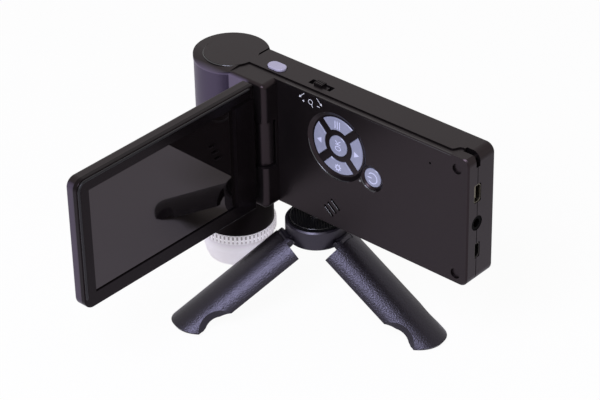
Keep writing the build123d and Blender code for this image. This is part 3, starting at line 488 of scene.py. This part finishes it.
# %% [markdown]
# ## Surfaces from two parameters
#
# Every raised sign on the case is a small surface over two parameters. Its points are worked out
# as one array of shape (rows, columns, 3), and one helper turns any such grid into a mesh: it
# joins neighbours into four-sided faces, closes the grid where it is asked to, and welds points
# that meet, such as the middle of a filled shape.

# %% Grids to meshes
import bmesh


def surface(name, grid_mm, finish, body, around=False):
    """Mesh over a grid of points; around joins the last row to the first."""
    rows, columns = grid_mm.shape[:2]
    index = np.arange(rows * columns).reshape(rows, columns)
    start = index if around else index[:-1]
    after = np.roll(index, -1, axis=0) if around else index[1:]
    faces = np.stack([start[:, :-1], start[:, 1:], after[:, 1:], after[:, :-1]], axis=-1)
    mesh = bpy.data.meshes.new(name)
    mesh.from_pydata((grid_mm.reshape(-1, 3) * MM).tolist(), [], faces.reshape(-1, 4).tolist())
    shape = bmesh.new()
    shape.from_mesh(mesh)
    bmesh.ops.remove_doubles(shape, verts=shape.verts, dist=1e-7)
    bmesh.ops.recalc_face_normals(shape, faces=shape.faces)
    shape.to_mesh(mesh)
    shape.free()
    mesh.shade_smooth()
    mesh.materials.append(finish.material)
    piece = bpy.data.objects.new(name, mesh)
    bpy.context.scene.collection.objects.link(piece)
    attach(piece, body)


print("a grid of points can be made a piece")

# %% [markdown]
# ## Printed signs
#
# Signs on the case and the keys are printed a few hundredths of a millimetre thick. A stroke is a
# low bead carried along a path: its section is half an ellipse, and its width narrows to a round
# end. A filled shape is a low dome from its middle to its outline. Both lie on a plane parallel
# to the key face and rise towards -Y. The bead is closed underneath, so that it is a solid skin.

# %% Strokes and filled shapes
# The face, the tops of the keys and the foot of the slab, in millimetres
FACE_Y, KEY_Y, BASE_Z = -4.3, -3.55, 37.0
# The ink's height above its plane, and the share of it that lies below
PRINT_MM, SUNK_SHARE = 0.035, 0.3


def on_face(flat, plane_y, rise=0.0):
    """Points (x, height above the slab's foot) put on a plane parallel to the key face, and
    lifted off it by rise."""
    y = np.broadcast_to(plane_y - rise, flat.shape[:-1])
    return np.stack([flat[..., 0], y, flat[..., 1] + BASE_Z], axis=-1)


def end_taper(path, length):
    """Share of the full width at each point: a quarter circle that closes both ends of a path,
    w = sqrt(1 - (1 - s)^2) with s the distance to the nearer end over length, at most 1."""
    run = np.concatenate([[0.0], np.cumsum(np.linalg.norm(np.diff(path, axis=0), axis=1))])
    to_end = np.clip(np.minimum(run, run[-1] - run) / length, 0, 1)
    return np.sqrt(np.clip(1 - (1 - to_end) ** 2, 0, 1))


def stroke(path, width, plane_y, closed=False):
    """Grid of a bead. Row: a point of the path. Column: an angle t from 0 to 2 pi round the
    section, across = width/2 cos t, rise = height sin t above the plane and a little below it."""
    path = np.asarray(path, float)
    ahead = np.roll(path, -1, 0) - np.roll(path, 1, 0) if closed else np.gradient(path, axis=0)
    ahead /= np.linalg.norm(ahead, axis=1, keepdims=True)
    sideways = np.stack([-ahead[:, 1], ahead[:, 0]], axis=1)
    share = (np.ones(len(path)) if closed else end_taper(path, width / 2))[:, None]
    t = np.linspace(0, 2 * pi, 13)
    across = share * width / 2 * np.cos(t)
    rise = share * np.where(np.sin(t) > 0, PRINT_MM, SUNK_SHARE * PRINT_MM) * np.sin(t)
    return on_face(path[:, None] + sideways[:, None] * across[..., None], plane_y, rise)


def crowned(inner, outer, plane_y, profile, count):
    """Grid between two outlines. Row: a point of the outlines. Column: the share u of the way
    from inner to outer, rise = print thickness times profile(u)."""
    u = np.linspace(0, 1, count)
    flat = inner[:, None] * (1 - u[:, None]) + outer[:, None] * u[:, None]
    return on_face(flat, plane_y, PRINT_MM * profile(u))


def dome(outline, plane_y):
    """Filled shape, whose height falls off as 1 - u^6 from its middle to its outline."""
    outline = np.asarray(outline, float)
    middle = np.broadcast_to(outline.mean(axis=0), outline.shape)
    return crowned(middle, outline, plane_y, lambda u: 1 - u**6, 7)


def line(*corners, step=0.12):
    """Points every step mm or so along straight runs between corners."""
    corners = np.asarray(corners, float)
    parts = [a + (b - a) * np.linspace(0, 1, max(int(np.linalg.norm(b - a) / step), 2))[:, None]
             for a, b in zip(corners[:-1], corners[1:])]
    return np.concatenate([parts[0]] + [part[1:] for part in parts[1:]])


def arc(middle, radius, start, end, count):
    """Points of an arc, angles in degrees from +X towards +Z."""
    angle = np.radians(np.linspace(start, end, count))
    return np.asarray(middle) + radius * np.stack([np.cos(angle), np.sin(angle)], axis=1)


def print_finish(name, color):
    """Screen-printed ink: slightly cloudy cover and a soft gloss."""
    finish = Finish(name, color, 0.45)
    cloud = finish.noise(0.6, 3.0)
    finish.tint(cloud, tuple(0.86 * c for c in color), color)
    finish.feed("Roughness", 0.38 + 0.14 * cloud)
    return finish


face_ink = print_finish("face_ink", (0.80, 0.80, 0.82))
key_ink = print_finish("key_ink", (0.66, 0.68, 0.86))
print("inks mixed:", face_ink.material.name, "and", key_ink.material.name)

# %% [markdown]
# ## Signs on the case
#
# Above the pad stand the signs of the zoom lever: an arrow each way, a plus, a magnifier and a
# minus. They need no words, so they are drawn as they are.

# %% Zoom signs
def case_sign(name, grid, around=False):
    surface(name, grid, face_ink, "housing", around)


def arrow(name, tail, tip, width=0.24, head=1.15):
    """A stroke that ends in a filled triangle whose point is the tip."""
    tail, tip = np.array(tail), np.array(tip)
    ahead = (tip - tail) / np.linalg.norm(tip - tail)
    sideways = np.array([-ahead[1], ahead[0]])
    neck = tip - ahead * head
    case_sign(name + "_shaft", stroke(line(tail, neck + ahead * 0.3), width, FACE_Y))
    sides = line(tip, neck + sideways * head * 0.5, neck - sideways * head * 0.5, tip)
    case_sign(name + "_head", dome(sides[:-1], FACE_Y), around=True)


arrow("sign_arrow_left", (42.62, 56.41), (39.80, 53.75))
arrow("sign_arrow_right", (48.86, 56.60), (51.80, 53.75))
for sign_name, *sign_corners in (
    ("sign_plus_level", (41.45, 52.8), (42.65, 52.8)),
    ("sign_plus_upright", (42.05, 52.2), (42.05, 53.4)),
    ("sign_magnifier_handle", (46.25, 52.62), (46.98, 51.35)),
    ("sign_minus", (49.05, 53.0), (50.6, 52.9)),
):
    case_sign(sign_name, stroke(line(*sign_corners), 0.28, FACE_Y))
magnifier = arc((45.75, 53.6), 1.05, 0, 352, 44)
case_sign("sign_magnifier_ring", stroke(magnifier, 0.26, FACE_Y, closed=True), around=True)
print("zoom signs on the case")

# %% [markdown]
# ## Signs on the keys
#
# The device is read with its barrel upwards, so every sign on a key is turned a quarter: two
# triangles, three bars for the menu, a cog wheel, the two letters OK, and the usual broken ring
# with a stroke for the power.

# %% Key signs
PAD_X, PAD_Z = 59.0, 38.2
POWER_X, POWER_Z = 76.6, 30.7


def key_sign(name, grid, body, around=False):
    surface(name, grid, key_ink, body, around)


def at_pad(*offsets):
    return [(PAD_X + x, PAD_Z + z) for x, z in offsets]


left_sides = line(*at_pad((-10.9, -0.4), (-8.5, 0.9), (-8.5, -1.7), (-10.9, -0.4)))
key_sign("sign_left", dome(left_sides[:-1], KEY_Y), "pad_left", around=True)
right_sides = line(*at_pad((10.9, -0.5), (8.3, 0.8), (8.3, -1.8), (10.9, -0.5)))
key_sign("sign_right", dome(right_sides[:-1], KEY_Y), "pad_right", around=True)
for bar in (-1, 0, 1):
    path = line(*at_pad((-0.2 + 1.15 * bar, 7.6), (-0.2 + 1.15 * bar, 11.2)))
    key_sign(f"sign_menu_{bar + 2}", stroke(path, 0.46, KEY_Y), "pad_up")

around_once = np.linspace(0, 2 * pi, 97)[:-1]
circle = np.stack([np.cos(around_once), np.sin(around_once)], axis=1)
cog_middle = np.array(at_pad((-0.1, -9.9)))
teeth = 1.42 + 0.24 * np.tanh(3 * np.sin(8 * around_once))
cog = crowned(cog_middle + 0.72 * circle, cog_middle + teeth[:, None] * circle, KEY_Y,
              lambda u: 1 - (2 * u - 1) ** 6, 9)
key_sign("sign_cog", cog, "pad_down", around=True)

letter_o = np.array(at_pad((0.0, -1.05))) + (1.35, 0.95) * circle
key_sign("sign_letter_o", stroke(letter_o, 0.40, KEY_Y, closed=True), "pad_ok", around=True)
for part, *corners in (
    ("stem", (-1.35, 0.75), (1.35, 0.75)),
    ("arm", (-1.35, 2.35), (0.1, 0.85)),
    ("leg", (-0.25, 1.15), (1.35, 2.45)),
):
    key_sign("sign_letter_k_" + part, stroke(line(*at_pad(*corners)), 0.40, KEY_Y), "pad_ok")

broken_ring = arc((POWER_X - 0.05, POWER_Z - 0.25), 2.3, -142, 142, 72)
key_sign("sign_power_ring", stroke(broken_ring, 0.50, KEY_Y), "power")
power_bar = line((POWER_X - 2.6, POWER_Z - 0.25), (POWER_X - 0.35, POWER_Z - 0.25))
key_sign("sign_power_stroke", stroke(power_bar, 0.50, KEY_Y), "power")
print("signs on six keys")

# %% [markdown]
# ## Polished edges
#
# A mould leaves its sharp edges brighter than the grained faces between them, and the eye reads a
# case by those thin lines. Each line is a slim bead with a polished skin, laid into the rounding
# of an edge: a path in space, a circle carried along it, and a radius that closes at both ends.

# %% Edge beads
polished = case_plastic("polished_edge", (0.0060, 0.0052, 0.0060), 0.16, depth_mm=0.001,
                        Specular_IOR_Level=1.0)
soft_edge = case_plastic("soft_edge", (0.0060, 0.0052, 0.0060), 0.34, depth_mm=0.001,
                         Specular_IOR_Level=0.30)
# The lid end's bead catches the lamp through its gloss, and its pale violet colour is a painted
# lilac sheen
painted_sheen_edge = case_plastic("painted_sheen_edge", (0.120, 0.100, 0.160), 0.24, depth_mm=0.001,
                               Specular_IOR_Level=0.50, Metallic=0.35)
FACE_NORMAL, UP = (0.0, -1.0, 0.0), (0.0, 0.0, 1.0)


def bead(path, radius, axis, taper):
    """Grid of a tube. Row: a point of the path, whose plane has the normal axis. Column: an angle
    t round the section, point = path + r (cos t sideways + sin t axis), and r closes both ends
    over the length taper."""
    path, axis = np.asarray(path, float), np.asarray(axis, float)
    ahead = np.gradient(path, axis=0)
    ahead /= np.linalg.norm(ahead, axis=1, keepdims=True)
    sideways = np.cross(ahead, axis)
    r = radius * end_taper(path, taper)
    t = np.linspace(0, 2 * pi, 33)
    return (path[:, None] + r[:, None, None] * (np.cos(t)[:, None] * sideways[:, None]
                                                + np.sin(t)[:, None] * axis))


def edge(name, path, radius, axis=FACE_NORMAL, taper=2.0, finish=polished, body="housing"):
    surface(name, bead(path, radius, axis, taper), finish, body)


def straight(first, last, count=80):
    """Points from first to last."""
    return np.asarray(first, float) + np.subtract(last, first) * np.linspace(0, 1, count)[:, None]


def level_ring(middle, radius, height, start, end, count):
    """Points of an arc in a level plane, angles in degrees from +X towards +Y."""
    return np.column_stack([arc(middle, radius, start, end, count), np.full(count, height)])


print("edges can be polished with", polished.material.name, soft_edge.material.name,
      painted_sheen_edge.material.name)

# %% [markdown]
# ## Edges of the case
#
# The bright lines on the case are the long top edge of the face, the rim of the disc, the near
# side of both dishes round the keys, one long side of each speaker slit, and a line round the
# tripod's pad.

# %% Beads on the case and the tripod
EDGE_Y, EDGE_Z, DISC_Z, DISH_Y, SLIT_Y, PAD_TOP_Z = -3.71, 93.81, 94.69, -4.07, -4.22, 32.22
edge("edge_face_top", straight((30.0, EDGE_Y, EDGE_Z), (117.5, EDGE_Y, EDGE_Z)), 0.6)
edge("edge_disc", level_ring((0, 0), 11.32, DISC_Z, -172, -34, 90), 0.30, UP)
edge("edge_pad_dish", on_face(arc((PAD_X, PAD_Z), 14.88, -176, -62, 120), DISH_Y), 0.42, taper=9.0)
edge("edge_power_dish", on_face(arc((POWER_X, POWER_Z), 5.55, -170, -66, 120), DISH_Y), 0.42,
     taper=3.0)

SLIT_MIDDLE, SLIT_STEP, SLIT_HALF, TO_SIDE = np.array([56.2, 8.8]), 2.7, 2.45, 0.50
tilt = radians(-40.0)
along_slit, across_slit = np.array([cos(tilt), sin(tilt)]), np.array([-sin(tilt), cos(tilt)])
for step in (-1, 0, 1):
    middle = SLIT_MIDDLE + (step * SLIT_STEP - TO_SIDE) * across_slit
    slit = straight(middle - SLIT_HALF * along_slit, middle + SLIT_HALF * along_slit, 30)
    edge(f"edge_slit_{step + 2}", on_face(slit, SLIT_Y), 0.27, taper=0.6)

edge("edge_pad_line", level_ring((41.1, 3.35), 10.9, PAD_TOP_Z, 0, 359.5, 180), 0.17, UP)
print("polished edges on the case and the tripod")

# %% [markdown]
# ## Edges of the lid
#
# The lid stands open, so its edges are placed from its hinge axis, along its own directions:
# reach runs from the hinge to the free end, and depth from the back of the lid to the screen.

# %% Beads on the lid
HINGE, OPEN = np.array([23.2, -7.1]), radians(-91.0)
ALONG_LID, OUT_OF_LID = np.array([cos(OPEN), sin(OPEN)]), np.array([-sin(OPEN), cos(OPEN)])
CORNER_REACH, CORNER_HEIGHT, CORNER_RADIUS = 97.47, 90.5, 3.7
BACK_REACH, BACK_DEPTH = 100.48, -2.53


def on_lid(reach, depth, height):
    """Points at a reach and a depth, with their height in the frame's own Z."""
    return np.column_stack([HINGE + np.multiply.outer(reach, ALONG_LID) + depth * OUT_OF_LID,
                            height])


turn = np.radians(np.linspace(90, 0, 24))
rim_reach = np.concatenate([np.linspace(9.0, 97.4, 90), CORNER_REACH + CORNER_RADIUS * np.cos(turn),
                            np.full(60, CORNER_REACH + CORNER_RADIUS)])
rim_height = np.concatenate([np.full(90, CORNER_HEIGHT + CORNER_RADIUS),
                             CORNER_HEIGHT + CORNER_RADIUS * np.sin(turn),
                             np.linspace(90.4, 42.0, 60)])
out_of_lid = (*OUT_OF_LID, 0.0)
edge("edge_lid_front", on_lid(rim_reach, 1.885, rim_height), 0.50, out_of_lid, finish=soft_edge,
     body="lid")
# the free end's bead: real gloss, with a painted lilac sheen in its colour
edge("edge_lid_end", on_lid(np.full(60, BACK_REACH), BACK_DEPTH, np.linspace(90.4, 41.5, 60)), 1.2,
     out_of_lid, taper=6.0, finish=painted_sheen_edge, body="lid")
print("polished edges on the lid")

# %% [markdown]
# ## Floor and light
#
# The object stands on white, as in a catalogue. The floor is a plain diffuse plane that camera
# and glass rays see as mostly plain white, so it stays white without more light on the object,
# and keeps a faint shadow. The world does the same: full white where it is seen, and lower levels
# where it lights and where it is mirrored. One soft lamp, lavender and halfway up in front of the
# keys, gives the long highlights along the legs.

# %% Floor
FLOOR_HALF_SIDE, FLOOR_GAP = 3.0, 0.0002
floor_z = float(cad_box[0][2])
corners = np.array([[-1, -1], [1, -1], [1, 1], [-1, 1]]) * FLOOR_HALF_SIDE
floor_points = [(x, y, floor_z - FLOOR_GAP) for x, y in corners]
floor_mesh = bpy.data.meshes.new("floor")
floor_mesh.from_pydata(floor_points, [], [(0, 1, 2, 3)])
floor = bpy.data.objects.new("floor", floor_mesh)
bpy.context.scene.collection.objects.link(floor)


def by_ray(nodes, lit, seen, mirrored):
    """lit on the rays that light things, seen on camera and glass rays, mirrored on glossy ones:
    lit, plus for each other kind of ray (its own level - lit)."""
    level = lit
    for kind, own_level in (("Camera", seen), ("Transmission", seen), ("Glossy", mirrored)):
        level = level + nodes.node("LightPath", {}, {}, f"Is {kind} Ray") * (own_level - lit)
    return level


floor_paint = Finish("floor_paint", (0.93, 0.90, 0.86), 0.9, Specular_IOR_Level=0.0)
white_share = by_ray(floor_paint, lit=0.0, seen=0.95, mirrored=0.0)
plain_white = floor_paint.node("Emission", {}, {})
diffuse = Signal(floor_paint, floor_paint.shader.outputs[0])
mixed = floor_paint.node("MixShader", {}, {0: white_share, 1: diffuse, 2: plain_white})
output = floor_paint.tree.nodes["Material Output"]
floor_paint.tree.links.new(mixed.socket, output.inputs["Surface"])
floor_mesh.materials.append(floor_paint.material)
print("floor at", round(floor_z, 4))

# %% World and lamp
world = bpy.data.worlds.new("white_room")
world.use_nodes = True
bpy.context.scene.world = world
room = world.node_tree.nodes["Background"]
room.inputs["Color"].default_value = (1.0, 0.985, 0.99, 1.0)
room_level = by_ray(Nodes(world.node_tree), lit=0.42, seen=1.0, mirrored=0.75)
world.node_tree.links.new(room_level.socket, room.inputs["Strength"])

LIT_POINT = np.array([45.0, 0.0, 30.0]) * MM
TO_LAMP, LAMP_DISTANCE = np.array([0.20, -0.67, 0.715]), 900.0 * MM
LAMP_SIZE, LAMP_WATTS, LAVENDER = 390 * MM, 7.0, (0.74, 0.76, 1.0)

# A lamp shines along its own -Z, so its Z axis points away from what it lights
panel = bpy.data.lights.new("front_lamp", "AREA")
panel.size, panel.energy, panel.color = LAMP_SIZE, LAMP_WATTS, LAVENDER
away = TO_LAMP / np.linalg.norm(TO_LAMP)
side = np.cross(UP, away)
side /= np.linalg.norm(side)
stand(bpy.data.objects.new("front_lamp", panel), side, np.cross(away, side), away,
      LIT_POINT + TO_LAMP * LAMP_DISTANCE)
print("front lamp", LAMP_WATTS, "W")
